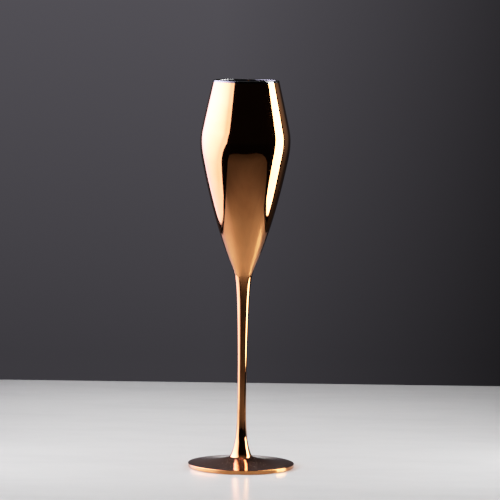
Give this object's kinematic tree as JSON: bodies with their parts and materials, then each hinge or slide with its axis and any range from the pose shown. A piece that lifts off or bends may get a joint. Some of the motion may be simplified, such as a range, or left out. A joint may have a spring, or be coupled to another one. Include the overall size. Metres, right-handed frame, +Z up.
{
  "type": "champagne flute",
  "caption": "Tall stemmed flute with an angular tulip bowl, a slim drawn stem and a thin disc foot, mirror-finished in copper.",
  "frame": {"origin": "centre of the foot's underside, on the plane that the glass stands on", "axes": "+Z up the stem, on the axis of the glass; the glass is round about it, so X and Y are free"},
  "size_m": [0.07, 0.07, 0.255],
  "materials": {
    "copper_mirror": "blown glass with an opaque, mirror-bright copper metallised film inside and out"
  },
  "bodies": {
    "root": {"bowl": "copper_mirror", "stem": "copper_mirror", "foot": "copper_mirror"}
  },
  "joints": []
}
